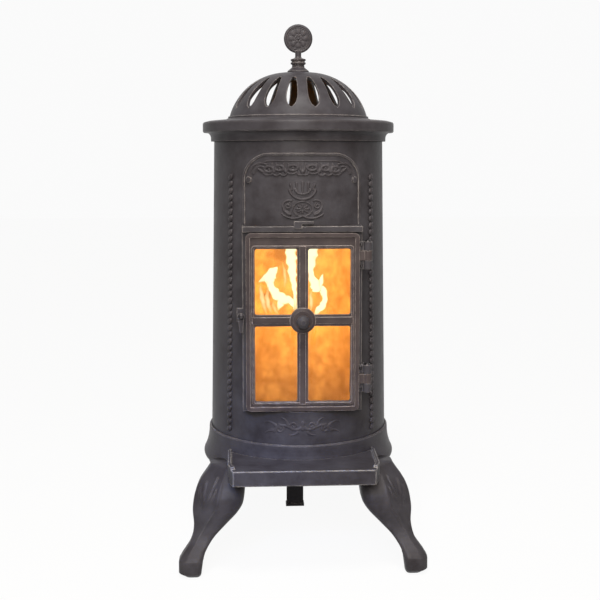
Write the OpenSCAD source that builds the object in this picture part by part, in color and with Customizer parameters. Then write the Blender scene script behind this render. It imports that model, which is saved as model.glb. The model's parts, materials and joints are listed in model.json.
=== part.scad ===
// Bioethanol column fireplace: a round cast-iron column on cabriole legs with a hearth
// shelf, a four-pane window door, a slotted dome lid and an ethanol burner inside.
// The front faces -Y, up is +Z, the feet stand on z = 0, sizes are in millimetres.

/* [Column] */
// Radius of the column under the top plate
column_r_top = 143.5; // [130:0.5:160]
// Radius of the column at the base ring
column_r_foot = 151; // [135:0.5:160]
// Wall of the column where it is thinnest
column_wall = 5.5; // [4:0.5:8]
// Height of the column's lower edge
column_z0 = 199.5; // [180:0.5:210]
// Height of the column's upper edge
column_z1 = 689.5; // [600:0.5:760]
// Width of the flat fillet beside each bead row
fillet_w = 8.5; // [5:0.5:12]
// Height of the flat fillet above the column
fillet_t = 2.5; // [1:0.5:4]
// Angle of the flat fillets from the front
fillet_a = 57; // [55:0.5:65]
// Height of the fillets' lower end
fillet_z0 = 211; // [196:1:230]
// Height of the fillets' upper end
fillet_z1 = 645; // [560:1:660]

/* [Arch above the door] */
// Half the width of the arch
arch_half = 94.7; // [80:0.1:98]
// Height of the arch's top
arch_z1 = 669.5; // [640:1:670]
// Radius of the arch's shoulders
arch_shoulder_r = 43; // [20:1:60]
// Width of the raised band along the arch
arch_band_w = 3; // [2:0.5:8]
// Height of the raised band above the column
arch_band_t = 1.8; // [1:0.1:3]
// Radius of the two bosses at the arch's feet
arch_boss_r = 5; // [3:0.5:8]
// Height of the two bosses
arch_boss_z = 627.5; // [600:0.5:640]

/* [Front plate] */
// Half the width of the front plate
plate_half = 95.5; // [93:0.5:104]
// Lower edge of the front plate
plate_z0 = 256; // [240:0.5:257]
// Upper edge of the front plate
plate_z1 = 554.5; // [550:0.5:570]
// Depth of the plate's top rail ahead of the door's seat
rail_t = 8; // [6:0.5:12]
// Depth of the door's seat face behind the column's foremost line
seat_back = 10; // [7:0.5:13]
// Wall of the front plate
plate_wall = 6; // [4:0.5:8]
// Wall of the plate's side cheeks
cheek_wall = 5; // [4:0.5:8]
// Half the width of the window in the plate
window_half = 84.5; // [83:0.5:90]
// Lower edge of the window in the plate
window_z0 = 266; // [262:0.5:272]
// Upper edge of the window in the plate
window_z1 = 531.5; // [525:0.5:534]

/* [Door] */
// Half the width of the door
door_half = 90.2; // [89:0.1:96]
// Lower edge of the door
door_z0 = 258; // [255:0.5:262]
// Upper edge of the door
door_z1 = 544; // [541:0.1:556]
// Thickness of the door's flat
door_t = 9; // [7:0.5:12]
// Gap between the door's back and its seat
door_gap = 0.5; // [0.3:0.1:1]
// Corner radius of the door
door_corner_r = 8; // [3:0.5:12]
// Width of the raised edge round the door
door_edge_w = 6.5; // [3:0.5:8]
// Height of the raised edges above the door's flat
door_edge_t = 3; // [1:0.5:4]
// Half the width of the glazed opening
glazed_half = 76; // [70:0.1:80]
// Lower edge of the glazed opening
glazed_z0 = 273.3; // [272:0.1:284]
// Upper edge of the glazed opening
glazed_z1 = 519; // [505:0.1:522]
// Width of the upright bar
upright_w = 17.5; // [10:0.1:24]
// Lower edge of the cross bar
bar_z0 = 395.3; // [385:0.1:400]
// Upper edge of the cross bar
bar_z1 = 413.8; // [405:0.1:420]
// Corner radius of the panes
pane_corner_r = 3.5; // [1:0.5:8]
// Radius of the boss at the crossing
boss_r = 20.5; // [16:0.1:28]
// Overlap of the glass behind the frame
glass_lap = 3; // [3:0.5:6]
// Thickness of the glass
glass_t = 4; // [3:0.5:5]
// Width of the rope seal
seal_w = 4; // [3:0.1:5]
// Depth of the rope seal's groove
seal_groove = 2; // [1:0.5:3]
// Radius of the knob's head
knob_r = 11; // [8:0.5:14]
// Length of the knob ahead of the boss
knob_l = 20; // [12:1:30]
// Radius of the knob's stud
knob_stud_r = 3; // [2:0.5:4]

/* [Hinges and latch] */
// Distance of the hinge axis from the middle
hinge_x = 104; // [103:0.5:112]
// Depth of the hinge axis ahead of the door's seat
hinge_out = 5; // [4:0.5:7]
// Middle height of the lower hinge
hinge_low_z = 309; // [295:1:330]
// Middle height of the upper hinge
hinge_high_z = 508; // [480:1:525]
// Length of one hinge
hinge_l = 44; // [36:1:56]
// Length of the door's knuckle
knuckle_l = 15; // [10:1:20]
// Radius of the knuckles
knuckle_r = 7; // [5.5:0.5:7.5]
// Radius of the hinge pin
pin_r = 3; // [2:0.5:4]
// Distance of the latch's pivot from the middle
latch_x = 98; // [97:0.5:106]
// Height of the latch's pivot
latch_z = 412.5; // [395:0.5:430]
// Length of the latch lever below its pivot
latch_l = 26; // [18:1:34]
// Radius of the latch's hub
latch_hub_r = 5.5; // [4:0.5:6.5]

/* [Base ring and shelf] */
// Height of the base ring's lower edge
ring_z0 = 134.5; // [125:0.5:145]
// Width of the ledge inside the base ring that carries the burner shelf
ring_ledge_w = 13; // [11:0.5:16]
// Thickness of the base ring's lower flange
ring_flange_t = 8; // [5:0.5:12]
// Thickness of the base ring's upper ledge
ring_ledge_t = 6; // [4:0.5:10]
// Distance of the hearth shelf's front edge from the axis
shelf_front_y = 214.5; // [190:0.5:240]
// Half the width of the shelf's front edge
shelf_front_half = 111.5; // [95:0.5:125]
// Half the width of the shelf at its sides
shelf_side_half = 121; // [112:0.5:126]
// Height of the shelf's top
shelf_z1 = 179; // [172:0.5:184]
// Thickness of the shelf
shelf_t = 6; // [4:0.5:7]
// Height of the shelf's front lip
shelf_lip_h = 24; // [16:0.5:30]
// Height of the shelf's raised side rims
shelf_rim_h = 4; // [2:0.5:6]

/* [Legs] */
// Outer reach of the front feet along X and along Y
foot_reach = 198.5; // [180:0.5:205]
// Height of the front legs' top
leg_top_z = 164.5; // [155:0.5:170]
// Width of the rear leg
rear_leg_w = 31.5; // [24:0.5:40]
// Thickness of the rear leg
rear_leg_t = 14; // [8:0.5:20]
// Distance of the rear leg's middle behind the axis
rear_leg_y = 135.5; // [128:0.5:142]

/* [Top plate and dome] */
// Outer radius of the top plate
cornice_r = 162.5; // [155:0.5:175]
// Height of the dome's seat
dome_z0 = 727.7; // [705:0.1:760]
// Radius of the opening in the top plate
vent_r = 98; // [80:1:108]
// Radius of the dome at its foot
dome_r = 119.5; // [110:0.5:130]
// Radius of the dome's arc
dome_arc_r = 99.9; // [95:0.1:110]
// Distance of the arc's centre from the axis
dome_arc_x = 20.5; // [10:0.5:26]
// Depth of the arc's centre below the seat
dome_arc_z = 22.1; // [10:0.1:30]
// Wall of the dome
dome_wall = 4.5; // [3:0.5:6]
// Number of slots in the dome
slot_count = 18; // [8:1:24]
// Widest part of a slot
slot_w = 18; // [10:0.5:22]
// Turn of the loose lid from the middle of a rib
dome_turn = 1.5; // [-10:0.5:10]
// Radius of the finial's medallion
medallion_r = 24.3; // [18:0.1:32]
// Height of the medallion's middle
medallion_z = 862.7; // [850:0.1:880]
// Radius of the medallion's round rim
medallion_rim_r = 3; // [2:0.5:5]
// Thickness of the medallion inside its rim
medallion_t = 3.6; // [2:0.1:4]

/* [Firebox and burner] */
// Gap between the column's wall and the liner's inner face
liner_gap = 13; // [12:0.5:18]
// Thickness of the liner
liner_t = 1.5; // [1:0.1:2]
// Angle of the liner's front edges from the front
liner_a = 56; // [50:1:80]
// Thickness of the burner shelf
burner_shelf_t = 3; // [2:0.5:4]
// Half the length of the burner tank
tank_half_x = 100; // [80:1:104]
// Half the width of the burner tank
tank_half_y = 50; // [36:1:56]
// Depth of the burner tank
tank_h = 58; // [40:1:60]
// Wall of the burner tank
tank_wall = 1.5; // [1:0.1:2.5]
// Left end of the burner's mouth
mouth_x0 = -62; // [-80:1:-40]
// Right end of the burner's mouth
mouth_x1 = 22; // [0:1:30]
// Half the width of the burner's mouth
mouth_half_y = 24; // [15:1:30]
// Overlap of the burner lid round the mouth
lid_lap = 2.5; // [2:0.5:4]
// Thickness of the burner lid
lid_t = 2; // [1.5:0.5:4]

/* [Fasteners] */
// Radius of the tie rods
rod_r = 4; // [3:0.5:5]
// Distance of the tie rods from the column's wall
rod_gap = 6.5; // [6:0.5:7]
// Radius of the large bolts' shanks
bolt_r = 3.5; // [3:0.5:4]
// Radius of the small screws' shanks
screw_r = 1.5; // [1:0.5:2]

/* [Hidden] */
$fn = 64;
fit = 0.2;
swing_fit = 0.05;
column_r_in = min(column_r_top, column_r_foot) - column_wall;
ring_r_in = column_r_in - ring_ledge_w;
ring_r_out = max(column_r_foot + 14, cornice_r);
burner_shelf_r = column_r_in - 0.5;
liner_r = column_r_in - liner_gap;
rod_ring_r = column_r_in - rod_gap;
leg_bolt_r = column_r_foot - 10;
shelf_bolt_x = 60;
shelf_bolt_y = column_r_foot + 28;
seat_y = column_r_foot - seat_back;
rail_front_y = seat_y + rail_t;
tab_t = rail_front_y + 1.5 - (column_r_foot + column_r_top) / 2 + 1;
hinge_y = seat_y + hinge_out;
plate_back_y = sqrt(column_r_in * column_r_in - plate_half * plate_half) + 1;
axis_y = (shelf_front_y - ring_r_out) / 2;
door_back_y = seat_y + door_gap;
door_face_y = door_back_y + door_t;
door_ridge_y = door_face_y + door_edge_t;
glass_half = glazed_half + glass_lap;
glass_z0 = glazed_z0 - glass_lap;
glass_z1 = glazed_z1 + glass_lap;
glass_back_y = door_back_y + 0.8;
rebate = glass_t + 1;
boss_z = (bar_z0 + bar_z1) / 2;
boss_y = door_ridge_y + 2;
seal_half = (window_half + door_half) / 2 - 0.4;
seal_z0 = (door_z0 + window_z0) / 2 + 0.8;
seal_z1 = window_z1 + seal_w / 2 + 1.2;
lever_y = door_ridge_y + 1;
ledge_z = column_z0 - 5;
burner_shelf_z = ledge_z + burner_shelf_t;
top_under_z = column_z1;
dome_top_z = dome_z0 + dome_arc_r - dome_arc_z;
lid_travel = mouth_x1 - mouth_x0 + 2 * lid_lap;
rod_angles = [-135, -75, 75, 135];
cast_iron = "#39353A";
steel = "#B4B4B2";

// General helpers
function arc(cx, cz, r, a0, a1, n) = [
    for (i = [0 : n])
        [cx + r * cos(a0 + (a1 - a0) * i / n), cz + r * sin(a0 + (a1 - a0) * i / n)]
];

module at_axis() {
    translate([0, axis_y, 0])
        children();
}

// A shape drawn in X and Z, standing from depth y0 to depth y1 ahead of the axis
module front_slab(y0, y1) {
    translate([0, -y0, 0])
        rotate([90, 0, 0])
            linear_extrude(height = y1 - y0)
                children();
}

// Turns a part about the axis, angles counted from the front towards +X
module round_at(a, r) {
    rotate([0, 0, a])
        translate([0, -r, 0])
            children();
}

module hex_bolt(shank_r, shank_l, head_r, head_h) {
    translate([0, 0, -shank_l])
        cylinder(r = shank_r, h = shank_l + 0.5);
    cylinder(r = head_r, h = head_h, $fn = 6);
}

module pan_screw(shank_r, shank_l, head_r, head_h) {
    translate([0, 0, -shank_l])
        cylinder(r = shank_r, h = shank_l + 0.5);
    cylinder(r = head_r, h = head_h * 0.5);
    translate([0, 0, head_h * 0.5])
        cylinder(r1 = head_r, r2 = head_r * 0.6, h = head_h * 0.5);
}

module rounded_box_2d(x0, z0, x1, z1, r) {
    union() {
        translate([x0 + r, z0])
            square([x1 - x0 - 2 * r, z1 - z0]);
        translate([x0, z0 + r])
            square([x1 - x0, z1 - z0 - 2 * r]);
        for (x = [x0 + r, x1 - r])
            for (z = [z0 + r, z1 - r])
                translate([x, z])
                    circle(r = r);
    }
}

// Base ring: a C-shaped casting with a flared skirt
ring_skirt = concat(
    [[column_r_foot + 4, ring_z0], [column_r_foot + 5.5, ring_z0 + 1.5]],
    arc(column_r_foot + 4, ring_z0 + 20, 10, -62, 20, 6),
    arc(column_r_foot + 89.5, column_z0 - 4, 85, 203, 180, 6),
    [[column_r_foot + 4.1, column_z0 + 0.2], [column_r_foot + 2.8, column_z0 + 2]]
);

module ring_section() {
    difference() {
        polygon(concat(ring_skirt, [
            [column_r_foot + 0.4, column_z0 + 2],
            [column_r_foot + 0.4, column_z0],
            [column_r_in, column_z0],
            [column_r_in, ledge_z],
            [ring_r_in, ledge_z],
            [ring_r_in, ring_z0]
        ]));
        translate([ring_r_in - 5, ring_z0 + ring_flange_t])
            square([column_r_foot + 2.5 - ring_r_in, ledge_z - ring_ledge_t - ring_z0 - ring_flange_t]);
    }
}

module leg_bolt_spots() {
    for (a = [-45, 45])
        for (s = [-10, 10])
            round_at(a, leg_bolt_r)
                translate([s, 0, 0])
                    children();
    for (s = [-13, 13])
        round_at(180, leg_bolt_r)
            translate([s, 0, 0])
                children();
}

module shelf_bolt_spots() {
    for (s = [-shelf_bolt_x, shelf_bolt_x])
        translate([s, -shelf_bolt_y, 0])
            children();
}

module base_ring() {
    color(cast_iron)
        at_axis()
            difference() {
                union() {
                    rotate_extrude()
                        ring_section();
                    shelf_bolt_spots()
                        translate([-13, -12, shelf_z1 - shelf_t - 7])
                            cube([26, 50, 7]);
                }
                leg_bolt_spots()
                    translate([0, 0, ring_z0 - 1])
                        cylinder(r = bolt_r + fit, h = ring_flange_t + 2);
                shelf_bolt_spots()
                    translate([0, 0, shelf_z1 - shelf_t - 8])
                        cylinder(r = bolt_r + fit, h = 9);
                for (a = rod_angles)
                    round_at(a, rod_ring_r)
                        translate([0, 0, ledge_z - ring_ledge_t - 1])
                            cylinder(r = rod_r + fit, h = ring_ledge_t + 2);
            }
}

// Hearth shelf: plate with a deep front lip, side rims and a curved back
shelf_plan = [
    [-shelf_front_half, -shelf_front_y],
    [shelf_front_half, -shelf_front_y],
    [shelf_side_half - 1, -shelf_front_y + 26],
    [shelf_side_half, -112],
    [shelf_side_half - 4, -100],
    [-shelf_side_half + 4, -100],
    [-shelf_side_half, -112],
    [-shelf_side_half + 1, -shelf_front_y + 26]
];

module shelf_band(w) {
    difference() {
        polygon(shelf_plan);
        polygon([
            for (p = shelf_plan)
                [p[0] - sign(p[0]) * w, p[1] < -100 - w ? min(p[1] + w, -100) : -90]
        ]);
    }
}

module hearth_shelf() {
    lip_z = shelf_z1 - shelf_lip_h;
    color(cast_iron)
        at_axis()
            difference() {
                union() {
                    translate([0, 0, shelf_z1 - shelf_t])
                        linear_extrude(height = shelf_t)
                            polygon(shelf_plan);
                    translate([0, 0, leg_top_z])
                        linear_extrude(height = shelf_z1 - leg_top_z)
                            shelf_band(6);
                    intersection() {
                        translate([0, 0, lip_z])
                            linear_extrude(height = shelf_z1 - lip_z)
                                shelf_band(6);
                        translate([-150, -shelf_front_y - 1, lip_z - 1])
                            cube([300, 20, 60]);
                    }
                    translate([0, 0, shelf_z1])
                        linear_extrude(height = shelf_rim_h)
                            intersection() {
                                shelf_band(5);
                                union() {
                                    translate([-150, -shelf_front_y + 12])
                                        square([50, 140]);
                                    translate([100, -shelf_front_y + 12])
                                        square([50, 140]);
                                }
                            }
                }
                rotate_extrude()
                    polygon(concat(
                        [[100, ring_z0]],
                        [for (p = ring_skirt) [p[0] + 0.3, p[1]]],
                        [[100, column_z0 + 2]]
                    ));
                shelf_bolt_spots()
                    translate([0, 0, shelf_z1 - shelf_t - 1])
                        cylinder(r = bolt_r, h = 5);
            }
}

module shelf_bolts() {
    color(steel)
        at_axis()
            shelf_bolt_spots()
                translate([0, 0, shelf_z1 - shelf_t - 7])
                    rotate([180, 0, 0])
                        hex_bolt(bolt_r, 10.5, 6.5, 4.5);
}

// Front legs: cabriole legs, square with a bevelled outer corner, from the foot to the knee
leg_outer = [
    [0, 10], [7, 1], [9, 0], [25, 0], [29, 0.6], [38.4, 7.5], [50.2, 17.3], [63, 22], [76.6, 23.7],
    [95, 20.8], [108.6, 21.8], [121.5, 24.3], [137.7, 30.8], [153.6, 42.7], [leg_top_z, 50]
];
leg_inner = [
    [0, 33], [4, 35.5], [8.5, 36], [27.7, 38.7], [38.4, 41.5], [50.2, 49.2], [61, 57.6],
    [71.8, 69.2], [83.5, 80.9], [95.2, 92.8], [108.6, 102.4], [125, 105], [leg_top_z, 107]
];
leg_bevel = [[0, 17], [28, 17], [60, 21], [104, 40], [leg_top_z, 40]];
leg_levels = [
    for (i = [0 : 37])
        i < 7 ? [0, 3.5, 7, 9, 17, 25, 28][i] : 28 + (leg_top_z - 28) * (i - 6) / 31
];

// Distances inside the leg's reach, smoothed above the foot's edge
function leg_at(table, z) = foot_reach - (z <= 28 ? lookup(z, table)
    : (lookup(max(z - 5, 28), table) + lookup(z, table) * 2 + lookup(z + 5, table)) / 4);

// Section facing -Y and X, its outer corner bevelled between plus and minus leg_bevel degrees
function leg_square(z, n) =
    let (
        x1 = leg_at(leg_outer, z),
        x0 = leg_at(leg_inner, z),
        side = (x1 - x0) / sqrt(2),
        front = side / (1 + tan(lookup(z, leg_bevel))),
        c = (x0 + x1) / sqrt(2)
    ) [for (i = [0 : n - 1])
        let (
            t = 360 * i / n,
            u = abs(cos(t)),
            v = abs(sin(t)),
            f = pow(pow((u + v) / side, 16) + pow(u / (cos(t) > 0 ? front : 0.68 * side), 16)
                + pow(v / (0.86 * side), 16), -1 / 16)
        )
            [sin(t) * f, -c - cos(t) * f, z]];

module leg_body() {
    n = 36;
    m = len(leg_levels);
    points = [for (z = leg_levels) each leg_square(z, n)];
    sides = [
        for (j = [0 : m - 2])
            for (i = [0 : n - 1])
                let (k = (i + 1) % n)
                    each [
                        [j * n + i, j * n + n + k, j * n + k],
                        [j * n + i, j * n + n + i, j * n + n + k]
                    ]
    ];
    polyhedron(
        points = points,
        faces = concat(sides, [[for (i = [0 : n - 1]) i]], [[for (i = [n - 1 : -1 : 0]) (m - 1) * n + i]]),
        convexity = 6
    );
}

module front_leg(side) {
    color(cast_iron)
        at_axis()
            difference() {
                rotate([0, 0, side * 45])
                    union() {
                        difference() {
                            leg_body();
                            translate([0, 0, -1])
                                cylinder(r = leg_bolt_r + 9, h = ring_z0 - 8);
                        }
                        translate([-20, -(foot_reach - 63) * sqrt(2), ring_z0 - 9])
                            cube([40, (foot_reach - 63) * sqrt(2) - leg_bolt_r + 11, 9]);
                    }
                translate([0, 0, ring_z0])
                    cylinder(r = ring_r_out + 0.6, h = 60);
                for (s = [-10, 10])
                    round_at(side * 45, leg_bolt_r)
                        translate([s, 0, ring_z0 - 14])
                            cylinder(r = bolt_r, h = 20);
            }
}

module left_front_leg() {
    front_leg(-1);
}

module right_front_leg() {
    front_leg(1);
}

// Rear leg: a plain bar with a foot and a flange under the base ring
module rear_leg() {
    color(cast_iron)
        at_axis()
            difference() {
                union() {
                    translate([-rear_leg_w / 2, rear_leg_y - rear_leg_t / 2, 0])
                        cube([rear_leg_w, rear_leg_t, ring_z0 - 4]);
                    translate([-20, rear_leg_y - 5, ring_z0 - 9])
                        cube([40, leg_bolt_r + 10 - rear_leg_y + 5, 9]);
                    translate([-rear_leg_w / 2 - 1.5, rear_leg_y - rear_leg_t / 2 - 2, 0])
                        cube([rear_leg_w + 3, rear_leg_t + 4, 5]);
                    translate([-3, rear_leg_y - rear_leg_t / 2 - 6, 70])
                        cube([6, 10, ring_z0 - 75]);
                }
                for (s = [-13, 13])
                    round_at(180, leg_bolt_r)
                        translate([s, 0, ring_z0 - 10])
                            cylinder(r = bolt_r, h = 12);
            }
}

module leg_bolts() {
    color(steel)
        at_axis()
            leg_bolt_spots()
                translate([0, 0, ring_z0 + ring_flange_t])
                    hex_bolt(bolt_r, ring_flange_t + 7, 5.8, 4.5);
}

// Column shell with the opening for the front plate and the arch above it
module bolt_lug_spots() {
    for (s = [-1, 1])
        for (z = [plate_z0 + 29, plate_z1 - 24])
            translate([s * (plate_half - 6.5), 0, z])
                scale([s, 1, 1])
                    children();
}

module column_section(grow) {
    polygon([
        [column_r_in, column_z0],
        [column_r_foot - 1 + grow, column_z0],
        [column_r_foot + grow, column_z0 + 1.5],
        [column_r_top + grow, column_z1],
        [column_r_in, column_z1]
    ]);
}

module arch_2d(inset) {
    rounded_box_2d(
        -arch_half + inset, plate_z0, arch_half - inset, arch_z1 - inset,
        arch_shoulder_r - inset
    );
}

module column_shell() {
    lean = atan((column_r_foot - column_r_top) / (column_z1 - column_z0));
    color(cast_iron)
        at_axis()
            difference() {
                union() {
                    rotate_extrude()
                        column_section(0);
                    intersection() {
                        rotate_extrude()
                            column_section(arch_band_t);
                        front_slab(60, 170)
                            intersection() {
                                difference() {
                                    arch_2d(0);
                                    arch_2d(arch_band_w);
                                }
                                translate([-150, plate_z1 - 4])
                                    square([300, 200]);
                            }
                    }
                    for (s = [-1, 1])
                        round_at(s * asin((arch_half - arch_boss_r - 1.8) / column_r_foot), column_r_top - 2)
                            translate([0, 0, arch_boss_z])
                                rotate([90, 0, 0])
                                    cylinder(r = arch_boss_r, h = 5.5);
                    for (s = [-1, 1])
                        round_at(s * fillet_a, column_r_foot - 3)
                            rotate([-lean, 0, 0])
                                translate([-fillet_w / 2, -3 - fillet_t, fillet_z0])
                                    cube([fillet_w, 4 + fillet_t, fillet_z1 - fillet_z0]);
                    intersection() {
                        bolt_lug_spots()
                            translate([-8, -plate_back_y - 4, -9])
                                cube([24, 15, 18]);
                        cylinder(r = column_r_in + 2, h = column_z1);
                    }
                }
                translate([-plate_half - fit, -170, plate_z0 - fit])
                    cube([2 * plate_half + 2 * fit, 170 - plate_back_y, plate_z1 - plate_z0 + 2 * fit]);
                bolt_lug_spots()
                    translate([0, -plate_back_y + 16, 0])
                        rotate([90, 0, 0])
                            cylinder(r = bolt_r + fit, h = 20);
            }
}

// Front plate: the flat surround of the door with side cheeks and a top rail
module front_plate() {
    color(cast_iron)
        at_axis()
            difference() {
                union() {
                    difference() {
                        translate([-plate_half, -rail_front_y, plate_z0])
                            cube([2 * plate_half, rail_front_y - plate_back_y, plate_z1 - plate_z0]);
                        translate([-plate_half + cheek_wall, -seat_y + plate_wall, plate_z0 + cheek_wall])
                            cube([2 * (plate_half - cheek_wall), seat_y, plate_z1 - plate_z0 - 2 * cheek_wall]);
                        translate([-150, -rail_front_y - 5, plate_z0 - 5])
                            cube([300, rail_front_y + 5 - seat_y, door_z1 + 1.4 - plate_z0 + 5]);
                    }
                    bolt_lug_spots()
                        translate([-7, -120, -8])
                            cube([12, 120 - plate_back_y, 16]);
                    translate([-latch_x - 7, -seat_y, latch_z - 11])
                        cube([12, 9, 22]);
                    translate([-14, -rail_front_y - 1.5, plate_z1 - 3.5])
                        cube([13, tab_t, 11.5]);
                    translate([-14, -rail_front_y - 1.5, plate_z1 + 3.5])
                        cube([31, tab_t, 4.5]);
                }
                front_slab(100, 160)
                    rounded_box_2d(-window_half, window_z0, window_half, window_z1, 4);
                bolt_lug_spots()
                    translate([0, -plate_back_y + 6, 0])
                        rotate([90, 0, 0])
                            cylinder(r = bolt_r, h = 24);
                translate([-latch_x, -seat_y + 8, latch_z])
                    rotate([90, 0, 0])
                        cylinder(r = 2.5, h = 12);
                hinge_spots()
                    hinge_screw_spots()
                        translate([0, 0, -12])
                            cylinder(r = screw_r, h = 12.5);
            }
}

module plate_bolts() {
    color(steel)
        at_axis()
            bolt_lug_spots()
                translate([0, -plate_back_y + 11.1, 0])
                    rotate([-90, 0, 0])
                        hex_bolt(bolt_r, 26, 5.8, 4);
}

// Top plate: moulded cornice with a wide vent and a seat for the dome
module top_plate() {
    color(cast_iron)
        at_axis()
            difference() {
                union() {
                    rotate_extrude()
                        polygon(concat(
                            [[vent_r, top_under_z + 12], [column_r_in - 7, top_under_z + 12],
                             [column_r_in - 4.5, top_under_z + 9], [column_r_in - 4.5, top_under_z - 5],
                             [column_r_in - 0.4, top_under_z - 5], [column_r_in - 0.4, top_under_z]],
                            [[column_r_top + 5.2, top_under_z], [column_r_top + 5.4, top_under_z + 4]],
                            arc(column_r_top + 15.8, top_under_z + 5.2, 10.4, 180, 118, 6),
                            [[cornice_r - 2, top_under_z + 14.6], [cornice_r - 0.6, top_under_z + 15.4],
                             [cornice_r, top_under_z + 17], [cornice_r, top_under_z + 27.5]],
                            arc(cornice_r - 4, top_under_z + 28.5, 4, 20, 60, 3),
                            [[cornice_r - 9.5, top_under_z + 34]],
                            [[dome_r + 5, dome_z0 - 1.6], [dome_r + 2, dome_z0]],
                            [[vent_r + 9, dome_z0], [vent_r + 9, dome_z0 + 5], [vent_r + 5, dome_z0 + 5],
                             [vent_r + 3, dome_z0 - 2], [vent_r, dome_z0 - 2]]
                        ));
                    for (a = rod_angles)
                        round_at(a, rod_ring_r)
                            translate([0, 0, top_under_z - 8])
                                cylinder(r = 6, h = 24);
                }
                for (a = rod_angles)
                    round_at(a, rod_ring_r)
                        translate([0, 0, top_under_z - 9])
                            cylinder(r = rod_r, h = 9);
            }
}

module tie_rods() {
    color(steel)
        at_axis()
            for (a = rod_angles)
                round_at(a, rod_ring_r)
                    translate([0, 0, ledge_z - ring_ledge_t - 14])
                        cylinder(r = rod_r, h = top_under_z - ledge_z + ring_ledge_t + 14);
}

module tie_nuts() {
    color(steel)
        at_axis()
            for (a = rod_angles)
                round_at(a, rod_ring_r)
                    translate([0, 0, ledge_z - ring_ledge_t - 6.5])
                        difference() {
                            cylinder(r = 7, h = 6.5, $fn = 6);
                            translate([0, 0, -1])
                                cylinder(r = rod_r, h = 9);
                        }
}

// Firebox: curved steel liner standing on the burner shelf
module liner() {
    color(steel)
        at_axis()
            rotate([0, 0, -90 + liner_a])
                translate([0, 0, burner_shelf_z])
                    rotate_extrude(angle = 360 - 2 * liner_a)
                        translate([liner_r, 0])
                            square([liner_t, top_under_z - 9 - burner_shelf_z]);
}

module burner_shelf() {
    color(steel)
        at_axis()
            difference() {
                translate([0, 0, ledge_z])
                    cylinder(r = burner_shelf_r, h = burner_shelf_t);
                translate([-tank_half_x - 0.5, -tank_half_y - 0.5, ledge_z - 1])
                    cube([2 * tank_half_x + 1, 2 * tank_half_y + 1, burner_shelf_t + 2]);
                for (a = rod_angles)
                    round_at(a, rod_ring_r)
                        translate([0, 0, ledge_z - 1])
                            cylinder(r = rod_r + fit, h = burner_shelf_t + 2);
            }
}

// Burner: folded steel tank hanging in the shelf by its rim
tank_top_z = burner_shelf_z + 2;
lid_z = tank_top_z + 0.3;
rail_y = mouth_half_y + lid_lap + 0.5;

module burner_tank() {
    color(steel)
        at_axis()
            difference() {
                union() {
                    translate([-tank_half_x, -tank_half_y, tank_top_z - tank_h])
                        cube([2 * tank_half_x, 2 * tank_half_y, tank_h]);
                    translate([-tank_half_x - 5, -tank_half_y - 5, burner_shelf_z])
                        cube([2 * tank_half_x + 10, 2 * tank_half_y + 10, 2]);
                    for (s = [-1, 1])
                        translate([-tank_half_x, s > 0 ? rail_y : -rail_y - 1.5, tank_top_z - 0.5])
                            cube([2 * tank_half_x + 5, 1.5, lid_t + 2]);
                    for (s = [-1, 1])
                        translate([-tank_half_x, s > 0 ? rail_y - 2 : -rail_y - 1.5, lid_z + lid_t + 0.3])
                            cube([2 * tank_half_x + 5, 3.5, 1.5]);
                }
                translate([-tank_half_x + tank_wall, -tank_half_y + tank_wall, tank_top_z - tank_h + tank_wall])
                    cube([2 * (tank_half_x - tank_wall), 2 * (tank_half_y - tank_wall), tank_h - 2 * tank_wall]);
                translate([mouth_x0, -mouth_half_y, tank_top_z - 5])
                    cube([mouth_x1 - mouth_x0, 2 * mouth_half_y, 10]);
            }
}

module burner_fibre() {
    color("#E9E4D8")
        at_axis()
            translate([-tank_half_x + tank_wall + 2, -tank_half_y + tank_wall + 2, tank_top_z - tank_h + tank_wall])
                cube([2 * (tank_half_x - tank_wall - 2), 2 * (tank_half_y - tank_wall - 2), tank_h - 14]);
}

module burner_lid() {
    lid_x0 = mouth_x1 + lid_lap;
    color(steel)
        at_axis()
            union() {
                translate([lid_x0, -rail_y + 0.4, lid_z])
                    cube([lid_travel - 1, 2 * rail_y - 0.8, lid_t]);
                translate([lid_x0 + lid_travel - 7, -14, lid_z])
                    cube([2, 28, 14]);
                translate([lid_x0 + lid_travel - 7, -14, lid_z + 12])
                    cube([9, 28, 2]);
            }
}

// Hinges: two brackets on the right of the front plate with round knuckles
module hinge_spots() {
    for (z = [hinge_low_z, hinge_high_z])
        translate([0, 0, z])
            children();
}

module hinge_screw_spots() {
    for (z = [hinge_l / 2 - 5, -hinge_l / 2 + 5])
        translate([plate_half - 2, -seat_y - 5, z])
            rotate([90, 0, 0])
                children();
}

module hinge_brackets() {
    tail = hinge_l / 2 - knuckle_l / 2 - 0.5;
    color(cast_iron)
        at_axis()
            hinge_spots()
                difference() {
                    union() {
                        for (s = [knuckle_l / 2 + 0.5, -hinge_l / 2]) {
                            translate([hinge_x, -hinge_y, s])
                                cylinder(r = knuckle_r, h = tail);
                            translate([hinge_x - 12.5, -seat_y - 5, s])
                                cube([12.5, 4.8, tail]);
                        }
                        translate([plate_half + 0.2, -seat_y - 3, -hinge_l / 2])
                            cube([4, 22, hinge_l]);
                    }
                    translate([hinge_x - 20, -hinge_y - 12, -knuckle_l / 2 - 0.5])
                        cube([30, 22, knuckle_l + 1]);
                    translate([hinge_x, -hinge_y, -hinge_l])
                        cylinder(r = pin_r, h = 2 * hinge_l);
                    hinge_screw_spots()
                        translate([0, 0, -8])
                            cylinder(r = screw_r + fit, h = 20);
                }
}

module hinge_screws() {
    color(steel)
        at_axis()
            hinge_spots()
                hinge_screw_spots()
                    pan_screw(screw_r, 12, 2.6, 2.2);
}

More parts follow.
